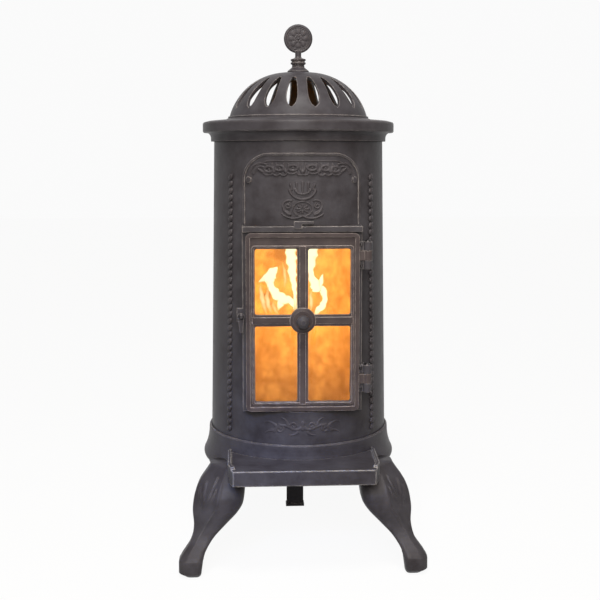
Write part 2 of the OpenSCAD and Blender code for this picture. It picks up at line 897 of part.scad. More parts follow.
module hinge_pins() {
    color(steel)
        at_axis()
            hinge_spots()
                translate([hinge_x, -hinge_y, 0]) {
                    translate([0, 0, -hinge_l / 2])
                        cylinder(r = pin_r, h = hinge_l + 0.5);
                    translate([0, 0, hinge_l / 2])
                        cylinder(r1 = 5, r2 = 4.6, h = 1.6);
                    translate([0, 0, hinge_l / 2 + 1.6])
                        cylinder(r1 = 4.6, r2 = 2.4, h = 1.6);
                }
}

// Latch: a small lever turning on a shoulder screw left of the door
module latch_screw() {
    color(steel)
        at_axis()
            translate([-latch_x, -lever_y - 3.3, latch_z])
                rotate([90, 0, 0]) {
                    translate([0, 0, -lever_y - 3.3 + seat_y - 7])
                        cylinder(r = 2.5, h = lever_y + 3.8 - seat_y + 7);
                    cylinder(r = 4.7, h = 1.5);
                    translate([0, 0, 1.5])
                        cylinder(r1 = 4.7, r2 = 2.5, h = 1.8);
                }
}

module latch_lever() {
    color(cast_iron)
        at_axis()
            difference() {
                union() {
                    translate([-latch_x, -seat_y - 0.3, latch_z])
                        rotate([90, 0, 0])
                            cylinder(r = latch_hub_r, h = lever_y + 2.7 - seat_y);
                    front_slab(lever_y, lever_y + 3)
                        polygon([
                            [-latch_x - 4.6, latch_z], [-latch_x + 4.6, latch_z],
                            [-latch_x + 3, latch_z - latch_l + 3], [-latch_x + 1.5, latch_z - latch_l],
                            [-latch_x - 1.5, latch_z - latch_l], [-latch_x - 3, latch_z - latch_l + 3]
                        ]);
                }
                translate([-latch_x, -seat_y + 5, latch_z])
                    rotate([90, 0, 0])
                        cylinder(r = 2.5 + swing_fit, h = 40);
            }
}

// Door: flat casting with raised edges, crossing bars and a boss
module door_outline(shrink) {
    rounded_box_2d(
        -door_half + shrink, door_z0 + shrink, door_half - shrink, door_z1 - shrink,
        max(door_corner_r - shrink, 1)
    );
}

module panes_2d() {
    x_in = upright_w / 2;
    difference() {
        union() {
            for (s = [-1, 1])
                for (z = [[glazed_z0, bar_z0], [bar_z1, glazed_z1]])
                    rounded_box_2d(
                        s > 0 ? x_in : -glazed_half, z[0],
                        s > 0 ? glazed_half : -x_in, z[1], pane_corner_r
                    );
        }
        translate([0, boss_z])
            circle(r = boss_r);
    }
}

module seal_loop(w, y0, y1) {
    front_slab(y0, y1)
        difference() {
            rounded_box_2d(-seal_half - w, seal_z0 - w, seal_half + w, seal_z1 + w, w + 1.5);
            rounded_box_2d(-seal_half + w, seal_z0 + w, seal_half - w, seal_z1 - w, 1);
        }
}

module clip_spots() {
    for (s = [-1, 1])
        for (z = [glass_z0 + 28, boss_z, glass_z1 - 28])
            translate([s * (glass_half + 2.8), -door_back_y, z])
                rotate([-90, 0, 0])
                    scale([s, 1, 1])
                        children();
}

module door_frame() {
    color(cast_iron)
        at_axis()
            difference() {
                union() {
                    front_slab(door_back_y, door_face_y)
                        door_outline(0);
                    front_slab(door_face_y - 1, door_ridge_y)
                        difference() {
                            door_outline(0);
                            door_outline(door_edge_w);
                        }
                    front_slab(door_face_y - 1, door_ridge_y - 1.4)
                        difference() {
                            rounded_box_2d(-glazed_half - 5, glazed_z0 - 5, glazed_half + 5, glazed_z1 + 5, 5);
                            rounded_box_2d(-glazed_half - 2, glazed_z0 - 2, glazed_half + 2, glazed_z1 + 2, 3);
                        }
                    front_slab(door_face_y - 1, door_ridge_y - 1) {
                        translate([-upright_w / 2 + 4, glazed_z0 - 4])
                            square([upright_w - 8, glazed_z1 - glazed_z0 + 8]);
                        translate([-glazed_half - 4, bar_z0 + 4])
                            square([2 * glazed_half + 8, bar_z1 - bar_z0 - 8]);
                    }
                    translate([0, -door_face_y + 1, boss_z])
                        rotate([90, 0, 0])
                            cylinder(r = boss_r, h = boss_y - door_face_y - 1);
                    translate([0, -boss_y + 2, boss_z])
                        rotate([90, 0, 0])
                            cylinder(r1 = boss_r, r2 = boss_r - 5, h = 2);
                    hinge_spots() {
                        translate([hinge_x, -hinge_y, -knuckle_l / 2])
                            cylinder(r = knuckle_r, h = knuckle_l);
                        translate([door_half - 4, -door_face_y, -knuckle_l / 2])
                            cube([hinge_x - door_half + 4, door_t, knuckle_l]);
                    }
                }
                front_slab(100, 200)
                    panes_2d();
                front_slab(door_back_y - 1, door_back_y + rebate)
                    rounded_box_2d(-glass_half - 0.4, glass_z0 - 0.4, glass_half + 0.4, glass_z1 + 0.4, 1);
                seal_loop(seal_w / 2 + 0.1, door_back_y - 1, door_back_y + seal_groove);
                hinge_spots()
                    translate([hinge_x, -hinge_y, -30])
                        cylinder(r = pin_r + swing_fit, h = 60);
                clip_spots()
                    translate([0, 0, -7])
                        cylinder(r = screw_r, h = 8);
                translate([0, -boss_y + 8, boss_z])
                    rotate([90, 0, 0])
                        cylinder(r = knob_stud_r, h = 10);
            }
}

module door_glass() {
    color([1, 0.75, 0.45, 0.3])
        at_axis()
            front_slab(glass_back_y, glass_back_y + glass_t)
                rounded_box_2d(-glass_half, glass_z0, glass_half, glass_z1, 2);
}

module glass_clips() {
    color(steel)
        at_axis()
            clip_spots()
                difference() {
                    union() {
                        translate([-2.6, -5, 0])
                            cube([5, 10, 1.2]);
                        translate([-5.4, -5, -0.8])
                            cube([3, 10, 2]);
                    }
                    translate([0, 0, -1])
                        cylinder(r = screw_r + fit, h = 4);
                }
}

module clip_screws() {
    color(steel)
        at_axis()
            clip_spots()
                translate([0, 0, 1.2])
                    pan_screw(screw_r, 6.5, 2.5, 1.6);
}

module door_seal() {
    color("#55504A")
        at_axis()
            seal_loop(seal_w / 2, seat_y + 0.1, door_back_y + seal_groove);
}

module door_knob() {
    color(cast_iron)
        at_axis()
            translate([0, -boss_y, boss_z])
                rotate([90, 0, 0])
                    union() {
                        translate([0, 0, -7])
                            cylinder(r = knob_stud_r, h = 8);
                        rotate_extrude()
                            polygon(concat(
                                [[0, 0], [9, 0], [9, 1.5], [6.5, 3.5], [6, knob_l - 14]],
                                arc(knob_r - 6, knob_l - 7, 6, -75, 75, 8),
                                [[4, knob_l], [0, knob_l]]
                            ));
                    }
}

// Dome lid with leaf-shaped slots
module dome_arc_2d(inset) {
    intersection() {
        translate([dome_arc_x, dome_z0 - dome_arc_z])
            circle(r = dome_arc_r - inset, $fn = 180);
        translate([dome_arc_x, dome_z0])
            square([200, 200]);
    }
    translate([0, dome_z0])
        square([dome_arc_x + 0.1, dome_arc_r - dome_arc_z - inset]);
}

module slot_2d() {
    w = slot_w / 2;
    rise = [
        [0, 15.5], [w * 0.58, 20], [w * 0.86, 25.5], [w, 32], [w * 0.98, 40],
        [w * 0.88, 48], [w * 0.62, 58.5], [w * 0.28, 66]
    ];
    polygon(concat(rise, [for (i = [len(rise) - 1 : -1 : 1]) [-rise[i][0], rise[i][1]]]));
}

module dome() {
    color(cast_iron)
        at_axis()
            difference() {
                union() {
                    rotate_extrude()
                        difference() {
                            dome_arc_2d(0);
                            translate([0, -1])
                                dome_arc_2d(dome_wall);
                            translate([-1, dome_z0 - 2])
                                square([dome_arc_r + 10, 2.5]);
                            translate([-300, dome_z0 - 10])
                                square([300, 200]);
                        }
                    rotate_extrude()
                        translate([dome_r - 9, dome_z0])
                            square([9, 3.5]);
                }
                for (i = [0 : slot_count - 1])
                    rotate([0, 0, dome_turn + 360 * (i + 0.5) / slot_count])
                        translate([0, -35, dome_z0])
                            rotate([90, 0, 0])
                                linear_extrude(height = 110)
                                    slot_2d();
                translate([0, 0, dome_z0 + 20])
                    cylinder(r = 4.2, h = 80);
            }
}

// Finial with a medallion facing the front
module finial() {
    z0 = dome_top_z;
    color(cast_iron)
        at_axis()
            union() {
                rotate_extrude()
                    polygon([
                        [0, z0], [18.3, z0], [18.3, z0 + 3], [16, z0 + 4.8], [10.8, z0 + 9.1],
                        [10.3, z0 + 13.4], [12.8, z0 + 14.8], [12.8, z0 + 17.2], [11.1, z0 + 18.1],
                        [11.1, z0 + 19.6], [12.8, z0 + 20.5], [12.8, z0 + 22.9], [6.3, z0 + 24.8],
                        [5.1, z0 + 27.7], [5.3, medallion_z - medallion_r + 4], [0, medallion_z - medallion_r + 4]
                    ]);
                translate([0, 0, z0 - 14])
                    cylinder(r = 4, h = 16);
                translate([0, medallion_t / 2, medallion_z])
                    rotate([90, 0, 0])
                        cylinder(r = medallion_r - medallion_rim_r, h = medallion_t);
                translate([0, 0, medallion_z])
                    rotate([90, 0, 0])
                        rotate_extrude()
                            translate([medallion_r - medallion_rim_r, 0])
                                circle(r = medallion_rim_r);
            }
}

module finial_nut() {
    color(steel)
        at_axis()
            translate([0, 0, dome_top_z - dome_wall - 1 - 6.5])
                difference() {
                    cylinder(r = 7.5, h = 6.5, $fn = 6);
                    translate([0, 0, -1])
                        cylinder(r = 4, h = 9);
                }
}

base_ring();
hearth_shelf();
left_front_leg();
right_front_leg();
rear_leg();
leg_bolts();
shelf_bolts();
column_shell();
front_plate();
plate_bolts();
top_plate();
tie_rods();
tie_nuts();
liner();
burner_shelf();
burner_tank();
burner_fibre();
burner_lid();
hinge_brackets();
hinge_screws();
hinge_pins();
latch_screw();
latch_lever();
door_frame();
door_glass();
glass_clips();
clip_screws();
door_seal();
door_knob();
dome();
finial();
finial_nut();
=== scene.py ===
"""Looks of the bioethanol column fireplace.

The CAD nodes carry the castings, the door with its glass, the liner and the burner.
This script gives each of them a material and adds what is modelled here: bead rows,
cast ornaments, carved front legs, the rope seal, the medallion's rosette and the flames.
Shapes are written in millimetres about the column's axis and turned into metres once.
"""

import json
import math

import bpy
import numpy as np
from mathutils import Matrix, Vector


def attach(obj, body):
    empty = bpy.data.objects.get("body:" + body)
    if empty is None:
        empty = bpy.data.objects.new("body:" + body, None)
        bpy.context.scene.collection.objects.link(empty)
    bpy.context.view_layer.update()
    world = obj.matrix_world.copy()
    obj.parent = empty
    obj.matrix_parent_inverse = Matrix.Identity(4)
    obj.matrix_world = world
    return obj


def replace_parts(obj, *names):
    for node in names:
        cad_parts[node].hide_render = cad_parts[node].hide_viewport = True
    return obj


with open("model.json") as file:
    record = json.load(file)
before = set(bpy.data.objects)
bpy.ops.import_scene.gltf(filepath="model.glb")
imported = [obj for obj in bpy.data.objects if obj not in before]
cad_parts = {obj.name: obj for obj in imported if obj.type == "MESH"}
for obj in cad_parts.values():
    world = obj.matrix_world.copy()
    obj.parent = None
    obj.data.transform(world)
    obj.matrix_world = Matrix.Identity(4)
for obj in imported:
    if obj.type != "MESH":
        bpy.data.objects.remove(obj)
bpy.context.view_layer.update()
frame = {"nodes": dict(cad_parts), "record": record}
node = frame["nodes"]

AXIS = np.array([0.0, 24.75, 0.0])  # where the column's axis stands in the frame, mm
COLUMN_FOOT_R, COLUMN_TOP_R = 151.0, 143.5  # the column's radius at its foot and top, mm
COLUMN_FOOT_Z, COLUMN_H = 201, 488.5  # where it starts and how high it is, mm
MEDALLION_Z, MEDALLION_T = 862.7, 1.75  # height of the medallion's middle, half its thickness


# ---------------------------------------------------------------- meshes
def mesh_piece(name, body, material, points, faces, hotness=None):
    """A smooth mesh from points (n, 3) in mm about the axis and a list of faces.

    It rides a body. The hotness of each point is the flame's alone.
    """
    mesh = bpy.data.meshes.new(name)
    mesh.from_pydata(((points + AXIS) / 1000).tolist(), [], faces)
    if hotness is not None:
        mesh.attributes.new("hotness", "FLOAT", "POINT").data.foreach_set(
            "value", np.asarray(hotness, np.float32)
        )
    mesh.shade_smooth()
    mesh.materials.append(material)
    piece = bpy.data.objects.new(name, mesh)
    bpy.context.scene.collection.objects.link(piece)
    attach(piece, body)
    return piece


def quads(rows, columns, around=False, along=False):
    """Quads of a grid whose points are numbered row by row, wrapped around or along."""
    r = np.arange(rows if along else rows - 1)[:, None]
    c = np.arange(columns if around else columns - 1)[None, :]
    r2, c2 = (r + 1) % rows, (c + 1) % columns
    corners = [r * columns + c, r * columns + c2, r2 * columns + c2, r2 * columns + c]
    return np.stack(np.broadcast_arrays(*corners), -1).reshape(-1, 4)


def tube_faces(rows, columns, first=0):
    """Faces of a tube of rings with a fan on each end, whose poles follow the rings."""
    sides = (quads(rows, columns, around=True) + first).tolist()
    ring = np.arange(columns)
    after = (ring + 1) % columns
    start, end = first + rows * columns, first + rows * columns + 1
    low = np.stack([ring * 0 + start, after + first, ring + first], -1)
    top = first + (rows - 1) * columns
    high = np.stack([ring * 0 + end, ring + top, after + top], -1)
    return sides + low.tolist() + high.tolist()


def tube(rings):
    """Points and faces of a closed tube from rings (rows, columns, 3)."""
    rows, columns, _ = rings.shape
    points = np.concatenate(
        [rings.reshape(-1, 3), rings[0].mean(0)[None], rings[-1].mean(0)[None]]
    )
    return points, tube_faces(rows, columns)


def slab(front, back):
    """Points and faces of a closed slab between two grids of the same size."""
    rings = np.concatenate([front, back[:, ::-1]], 1)
    rows, columns, _ = rings.shape
    sides = quads(rows, columns, around=True)
    j = np.arange(front.shape[1] - 1)
    foot = np.stack([j + 1, j, columns - 1 - j, columns - 2 - j], -1)
    head = foot[:, ::-1] + (rows - 1) * columns
    return rings.reshape(-1, 3), np.concatenate([sides, foot, head]).tolist()


# ---------------------------------------------------------------- materials
def colour(text):
    """A screen colour such as 3A3638 as linear red, green, blue, alpha."""
    parts = [int(text[i : i + 2], 16) / 255 for i in (0, 2, 4)]
    return [p / 12.92 if p <= 0.04045 else ((p + 0.055) / 1.055) ** 2.4 for p in parts] + [1.0]


def add(material, kind, inputs=(), **settings):
    """Adds a shader node: settings are its options, inputs its sockets' values or links."""
    made = material.node_tree.nodes.new("ShaderNode" + kind)
    for key, value in settings.items():
        setattr(made, key, value)
    for key, value in dict(inputs).items():
        if isinstance(value, bpy.types.NodeSocket):
            material.node_tree.links.new(value, made.inputs[key])
        else:
            made.inputs[key].default_value = value
    return made


def new_material(name):
    """An empty node material."""
    made = bpy.data.materials.new(name)
    made.use_nodes = True
    made.node_tree.nodes.clear()
    return made


def place(material, stretch=(1, 1, 1)):
    """Object coordinates in metres, stretched along the axes."""
    spot = add(material, "TexCoord").outputs["Object"]
    return add(material, "Mapping", {"Vector": spot, "Scale": stretch}).outputs["Vector"]


def noise(material, spot, size_mm, detail=3, roughness=0.5):
    """Noise whose patches measure about size_mm."""
    inputs = {"Vector": spot, "Scale": 1000 / size_mm, "Detail": detail, "Roughness": roughness}
    return add(material, "TexNoise", inputs).outputs[0]


def spread(material, value, low, high, to_low=0.0, to_high=1.0):
    """Maps a value from low..high to another range, held at its ends."""
    ends = {"From Min": low, "From Max": high, "To Min": to_low, "To Max": to_high}
    return add(material, "MapRange", {"Value": value} | ends).outputs[0]


def blend(material, share, first, second):
    """A colour between two colours."""
    return add(material, "Mix", {0: share, 6: first, 7: second}, data_type="RGBA").outputs[2]


def finish_with(material, shader):
    """Joins a shader to the material's output."""
    add(material, "OutputMaterial", {"Surface": shader.outputs[0]})
    return material


def edge_wear_and_painted_highlight(material, radius_mm):
    """Normals rounded over an edge, and a mask that is 1 on the edge itself, where wear and a
    painted highlight go.
    """
    rounded = add(material, "Bevel", {"Radius": radius_mm / 1000}, samples=4).outputs[0]
    flat = add(material, "NewGeometry").outputs["Normal"]
    same = add(material, "VectorMath", {0: rounded, 1: flat}, operation="DOT_PRODUCT")
    return rounded, spread(material, same.outputs["Value"], 0.995, 0.86)


def painted_iron(name, edge_mm, dark, light, wear_and_highlight_tone):
    """Graphite stove paint on sand-cast iron: satin, faintly clouded, lighter on its edges with
    wear and a painted highlight.
    """
    m = new_material(name)
    spot = place(m)
    clouds = noise(m, spot, 34, 5, 0.62)
    rounded, edge = edge_wear_and_painted_highlight(m, edge_mm)
    patchy = spread(m, noise(m, spot, 9), 0.36, 0.6, 0.4)
    # Edges take a lighter tone: wear, and a painted highlight where the lamps would glint on them.
    wear_and_painted_highlight = add(m, "Math", {0: edge, 1: patchy}, operation="MULTIPLY")
    paint = blend(m, spread(m, clouds, 0.34, 0.68), colour(dark), colour(light))
    tone = blend(m, wear_and_painted_highlight.outputs[0], paint, colour(wear_and_highlight_tone))
    grain = {"Height": noise(m, spot, 1.3, 2), "Distance": 0.00022, "Strength": 0.6}
    sand = add(m, "Bump", grain | {"Normal": rounded})
    swell = {"Height": noise(m, spot, 11), "Distance": 0.0006, "Strength": 0.55}
    skin = add(m, "Bump", swell | {"Normal": sand.outputs[0]})
    inputs = {
        "Base Color": tone,
        "Roughness": spread(m, clouds, 0.3, 0.7, 0.36, 0.48),
        "Specular IOR Level": 0.09,
        "Normal": skin.outputs[0],
    }
    return finish_with(m, add(m, "BsdfPrincipled", inputs))


def metal(name, low, high, smooth, rough, streak=(1, 1, 1), size_mm=6, metallic=1.0):
    """A metal whose tint and gloss drift a little, with fine marks along one direction."""
    m = new_material(name)
    drift = noise(m, place(m), 22, 4)
    marks = noise(m, place(m, streak), size_mm, 4, 0.6)
    both = add(m, "Math", {0: drift, 1: marks}, operation="MULTIPLY").outputs[0]
    bump = add(m, "Bump", {"Height": marks, "Distance": 0.00008, "Strength": 0.5})
    inputs = {
        "Base Color": blend(m, spread(m, both, 0.14, 0.4), colour(low), colour(high)),
        "Metallic": metallic,
        "Roughness": spread(m, marks, 0.3, 0.7, smooth, rough),
        "Normal": bump.outputs[0],
    }
    return finish_with(m, add(m, "BsdfPrincipled", inputs))


def fire_glass():
    """Clear thin heat-proof glass: a faint reflection, a breath of haze where it was wiped."""
    m = new_material("Heat-resistant glass, drawn and wiped")
    haze = spread(m, noise(m, place(m), 40, 4), 0.35, 0.75, 0.0, 0.03)
    inputs = {
        "Base Color": colour("FFFFFF"),
        "Transmission Weight": 1.0,
        "IOR": 1.2,
        "Roughness": haze,
    }
    return finish_with(m, add(m, "BsdfPrincipled", inputs))


def soft_white():
    """Ceramic fibre board: matt white, felted, a little scorched."""
    m = new_material("Ceramic fibre board, pressed")
    spot = place(m)
    felt = noise(m, spot, 1.6, 5, 0.7)
    tone = blend(m, spread(m, noise(m, spot, 30, 4), 0.4, 0.7), colour("E6E0D2"), colour("B9AB93"))
    bump = add(m, "Bump", {"Height": felt, "Distance": 0.0005})
    inputs = {"Base Color": tone, "Roughness": 0.95, "Normal": bump.outputs[0]}
    return finish_with(m, add(m, "BsdfPrincipled", inputs))


def knitted_rope():
    """Black glass-fibre rope: fine plaited yarns with a dull glint."""
    m = new_material("Glass-fibre rope, plaited")
    spot = place(m)
    yarns = {"Vector": spot, "Scale": 260, "Distortion": 3.0, "Detail": 2}
    waves = add(m, "TexWave", yarns, bands_direction="DIAGONAL")
    tone = blend(m, waves.outputs["Fac"], colour("24221F"), colour("55504A"))
    bump = add(m, "Bump", {"Height": waves.outputs["Fac"], "Distance": 0.0003})
    inputs = {"Base Color": tone, "Roughness": 0.8, "Sheen Weight": 0.3, "Normal": bump.outputs[0]}
    return finish_with(m, add(m, "BsdfPrincipled", inputs))


def ethanol_flame():
    """Burning ethanol: white in the middle, yellow to orange and clear towards its rim."""
    m = new_material("Ethanol flame, burning freely")
    heat = add(m, "Attribute", attribute_name="hotness").outputs["Fac"]
    facing = add(m, "LayerWeight", {"Blend": 0.5}).outputs["Facing"]
    core = spread(m, facing, 0.62, 0.0)
    lick = spread(m, noise(m, place(m, (1, 1, 0.3)), 9, 3), 0.3, 0.7, 0.75, 1.0)
    body = add(m, "Math", {0: core, 1: heat}, operation="MULTIPLY").outputs[0]
    body = add(m, "Math", {0: body, 1: lick}, operation="MULTIPLY").outputs[0]
    glow = blend(m, spread(m, body, 0.15, 0.75), colour("FFA62E"), colour("FFF6C4"))
    fire = add(m, "Emission", {"Color": glow, "Strength": spread(m, body, 0.1, 0.7, 1.0, 1.35)})
    clear = add(m, "BsdfTransparent")
    share = spread(m, body, 0.02, 0.5)
    return finish_with(m, add(m, "MixShader", {0: share, 1: clear.outputs[0], 2: fire.outputs[0]}))


def seen_directly(material):
    """1 for what the camera sees of a backdrop, straight, in a gloss or through glass."""
    path = add(material, "LightPath").outputs
    seen = path["Is Camera Ray"]
    for ray in ("Is Glossy Ray", "Is Transmission Ray"):
        seen = add(material, "Math", {0: seen, 1: path[ray]}, operation="MAXIMUM").outputs[0]
    return seen


def floor_paper():
    """Matt white paper of the studio floor."""
    m = new_material("Studio paper, matt white")
    tone = blend(m, noise(m, place(m), 400, 3), colour("CACAC8"), colour("C2C2C0"))
    paper = add(m, "BsdfPrincipled", {"Base Color": tone, "Roughness": 0.9})
    white = add(m, "Emission", {"Color": colour("FFFFFF"), "Strength": 1.0})
    share = spread(m, seen_directly(m), 0, 1, 0.0, 0.93)
    return finish_with(m, add(m, "MixShader", {0: share, 1: paper.outputs[0], 2: white.outputs[0]}))


# The castings look near black, a little lighter in clouds, and grey on their edges, where wear and
# a painted highlight lie.
cast_iron = painted_iron(
    "Cast iron, brushed with graphite stove paint", 1.8, "292628", "383639", "7C7673"
)
# The shelf's rim carries a wider band of wear and painted highlight.
shelf_iron = painted_iron(
    "Cast iron, hearth shelf worn bright on its rim", 3.6, "292628", "383639", "96928F"
)
# The door is painted browner than the other castings, and its thin warm edges carry wear and a
# painted highlight.
door_iron = painted_iron(
    "Cast iron, door in graphite stove paint, rubbed by hand", 1.2, "2D2728", "3E3736", "A0958F"
)
# The front plate's ledge and arch show a soft line of light, partly from the lamps and partly
# painted highlight over wear on their edges.
plate_iron = painted_iron(
    "Cast iron, front plate in graphite stove paint", 2.2, "292628", "383639", "8A8480"
)
# Small relief keeps crisp edges, with a narrow band of wear and painted highlight on them.
fine_iron = painted_iron(
    "Cast iron, fine ornament in graphite stove paint", 0.7, "2B282A", "3B383A", "8E8985"
)
zinc = metal("Steel, bright zinc plated", "A6A8AA", "CDCFD0", 0.28, 0.42)
dark_steel = metal("Steel, blackened in oil", "2C2A2B", "4A4646", 0.32, 0.5)
# Browned steel in the fire's light, blotched along its height and almost without gloss.
hot_sheet = metal(
    "Stainless sheet, browned by heat", "A07A46", "DDB87A", 0.6, 0.75,
    streak=(1, 1, 0.3), size_mm=60, metallic=0.15,
)
burner_sheet = metal(
    "Stainless sheet, brushed", "9C9890", "C8C4BA", 0.25, 0.42,
    streak=(0.05, 1, 1), size_mm=3,
)
glass = fire_glass()
fibre = soft_white()
rope = knitted_rope()
flame = ethanol_flame()

FINISHES = {
    "painted_iron": cast_iron,
    "zinc_steel": zinc,
    "dark_steel": dark_steel,
    "stainless_sheet": burner_sheet,
    "ceramic_fibre": fibre,
    "fire_glass": glass,
    "rope_seal": rope,
}
SPECIAL = {
    "liner": hot_sheet,
    "door_frame": door_iron,
    "front_plate": plate_iron,
    "hearth_shelf": shelf_iron,
}
for part in frame["record"]["subparts"]:
    finish = SPECIAL.get(part["node"], FINISHES[part["material_slot"]])
    node[part["node"]].data.materials.clear()
    node[part["node"]].data.materials.append(finish)


# ---------------------------------------------------------------- ornament
# A drawing gives its height in mm at (x, z): x from the middle line, z over the floor.
NOTHING = -9.0  # its height where it is empty, far below the face of any casting


def column_r(z):
    """Radius of the tapering column at height z."""
    return COLUMN_FOOT_R + (COLUMN_TOP_R - COLUMN_FOOT_R) * (z - COLUMN_FOOT_Z) / COLUMN_H


def stroke(x, z, path, width, rise):
    """Height of a rounded ridge along a path: rise in its middle, 0 at half its width."""
    path = np.asarray(path, float)
    width = np.broadcast_to(np.asarray(width, float), len(path)) / 2
    rise = np.broadcast_to(np.asarray(rise, float), len(path))
    best = np.full(x.shape, NOTHING)
    for i in range(len(path) - 1):
        a, d = path[i], path[i + 1] - path[i]
        t = np.clip(((x - a[0]) * d[0] + (z - a[1]) * d[1]) / max(d @ d, 1e-9), 0, 1)
        away = np.hypot(x - a[0] - t * d[0], z - a[1] - t * d[1])
        w = width[i] + (width[i + 1] - width[i]) * t
        h = rise[i] + (rise[i + 1] - rise[i]) * t
        best = np.maximum(best, h * (1 - (away / w) ** 2.2))
    return best


def arc(x, z, rx, rz, start, end, n=14):
    """Points of an elliptical arc, angles in degrees from +X towards +Z."""
    a = np.radians(np.linspace(start, end, n))
    return np.stack([x + rx * np.cos(a), z + rz * np.sin(a)], -1)


def volute(x, z, r0, r1, start, end, n=26):
    """Points of a spiral that runs from radius r0 to r1."""
    a = np.radians(np.linspace(start, end, n))
    r = np.linspace(r0, r1, n)
    return np.stack([x + r * np.cos(a), z + r * np.sin(a)], -1)


def curve(*points, n=16):
    """A smooth curve near the given points, a Bezier of their order."""
    p = np.array(points, float)
    t = np.linspace(0, 1, n)[:, None]
    order = len(p) - 1
    return sum(math.comb(order, k) * t**k * (1 - t) ** (order - k) * p[k] for k in range(order + 1))


def column_patch(
    name, half_x, low_z, high_z, height, lift, narrow=1.0, step=0.8, bare=-0.7, back=1.6
):
    """Relief cast on the column: a closed patch, mirrored about the middle line.

    The point at (x, z) lies at the column's radius plus the height there, and at the bare
    level, under the column's face, where there is no ornament. The patch's back lies deeper.
    The drawing is lifted and narrowed as asked.
    """
    x = np.linspace(-half_x, half_x, int(2 * half_x / step) | 1)
    z = np.linspace(low_z, high_z, int((high_z - low_z) / step))
    across, up = np.meshgrid(x, z)
    rise = np.maximum(height(np.abs(across), up), bare)
    across, up = across * narrow, up + lift

    def lay(r):
        side = np.arcsin(across / column_r(up))
        return np.stack([r * np.sin(side), -r * np.cos(side), up], -1)

    points, faces = slab(lay(column_r(up) + rise), lay(column_r(up) - back))
    return mesh_piece(name, "stove", fine_iron, points, faces)


def garland(x, z):
    """A hanging garland: open flowers between leaves, a scalloped hem and long curled tails."""
    h = np.full(x.shape, NOTHING)
    flowers = ((15, 638.5, 7.0), (36.5, 638, 6.6), (52.5, 636, 7.0))
    for cx, cz, r in flowers:
        ring = arc(cx, cz, r, r * 0.62, 0, 360, 20)
        h = np.maximum(h, stroke(x, z, ring, 4.8, 2.3))
        h = np.maximum(h, stroke(x, z, [(cx, cz + 0.3), (cx + 0.1, cz - 0.3)], 4.0, 2.0))
    for cx in (0.5, 26, 44.5):
        for lean in (-1, 1):
            leaf = curve((cx, 632), (cx + 4 * lean, 637), (cx + 3.4 * lean, 645))
            h = np.maximum(h, stroke(x, z, leaf, np.linspace(6, 3, 16), np.linspace(2.4, 1.4, 16)))
    hem = ((4, 628.5, 5), (17, 630.5, 8), (30, 627.8, 5), (41, 628, 5.5), (54, 628.5, 7.5))
    for cx, cz, w in hem:
        h = np.maximum(h, stroke(x, z, arc(cx, cz + 2.5, w, 4, 200, 340), 3.2, 2.1))
    tail = curve((57, 644), (72, 650), (84, 640), (85, 620), n=20)
    h = np.maximum(h, stroke(x, z, tail, np.linspace(3.4, 5.2, 20), 2.1))
    leaf = curve((62, 640), (69, 643), (74, 636), (77, 630))
    h = np.maximum(h, stroke(x, z, leaf, np.linspace(3, 6, 16), 2.0))
    sprig = curve((58, 631), (66, 632), (72, 640))
    h = np.maximum(h, stroke(x, z, sprig, np.linspace(6.5, 2.5, 16), 2.0))
    return h


def arch_inner_line(x, z):
    """The thin raised line that follows the arch 12 mm inside it."""
    half, top, r = 81.3, 650, 33
    line = np.concatenate([[(half, 622)], arc(half - r, top - r, r, r, 0, 90, 18), [(0, top)]])
    return stroke(x, z, line, 2.6, 1.3)


def shell_and_cartouche(x, z):
    """An open shell of leaves in a bowl, over a plain flowered shield between C-shaped scrolls."""
    bowl_z, shield_z = 604, 571  # the heights of their middles
    h = np.full(x.shape, NOTHING)
    for rx, rz, width in ((21, 18, 5), (13, 10, 3.6)):
        h = np.maximum(h, stroke(x, z, arc(0, bowl_z, rx, rz, -90, -12, 20), width, 2.6))
    for cx, low, high in ((0.4, 597, 613), (8.5, 599, 611), (17, 601, 609)):
        h = np.maximum(h, stroke(x, z, [(cx, low), (cx * 1.12, high)], [3.4, 5.4], [1.6, 2.6]))
    for a in (90, 45, 0, -45, -90):
        turn = math.radians(a)
        near = (3 * math.cos(turn), shield_z + 2.4 * math.sin(turn))
        petal = [near, (9.5 * math.cos(turn), shield_z + 6.6 * math.sin(turn))]
        h = np.maximum(h, stroke(x, z, petal, [2.6, 4.4], 2.0))
    h = np.maximum(h, stroke(x, z, arc(0, shield_z, 15.5, 11.5, -90, 90, 26), 2.8, 2.3))
    scroll = curve((17, 584), (34, 588), (37, 568), (20, 562), n=22)
    h = np.maximum(h, stroke(x, z, scroll, np.linspace(3, 5.4, 22), 2.4))
    h = np.maximum(h, stroke(x, z, volute(23.5, 576, 5.2, 1.2, 120, 560), 2.8, 2.3))
    leaf = curve((18, 562), (22, 568), (29, 567))
    h = np.maximum(h, stroke(x, z, leaf, np.linspace(2.4, 4.6, 16), 2.2))
    swag = curve((33, 563), (20, 553), (9, 555), (0, 560), n=20)
    h = np.maximum(h, stroke(x, z, swag, np.linspace(3, 5.6, 20), 2.6))
    return h


def hearth_scrolls(x, z):
    """Two running scrolls with leaves that meet in the middle under the door."""
    h = stroke(x, z, [(0, 218), (0, 229)], [5, 7], 1.1)
    stem = curve((2, 222), (16, 208), (26, 236), (42, 226), (46, 214), n=26)
    h = np.maximum(h, stroke(x, z, stem, np.linspace(5.5, 4, 26), 1.0))
    h = np.maximum(h, stroke(x, z, volute(14.5, 224.5, 7, 1.6, -110, 330), 3.6, 0.9))
    h = np.maximum(h, stroke(x, z, volute(37, 219, 7.4, 1.5, 80, 520), 3.6, 0.9))
    for a, b, c in (
        ((24, 226), (27, 236), (34, 237)),
        ((8, 214), (12, 209), (20, 209)),
        ((44, 224), (52, 232), (61, 229)),
        ((45, 216), (54, 216), (60, 211)),
    ):
        h = np.maximum(h, stroke(x, z, curve(a, b, c), np.linspace(6, 2, 16), 0.9))
    return h


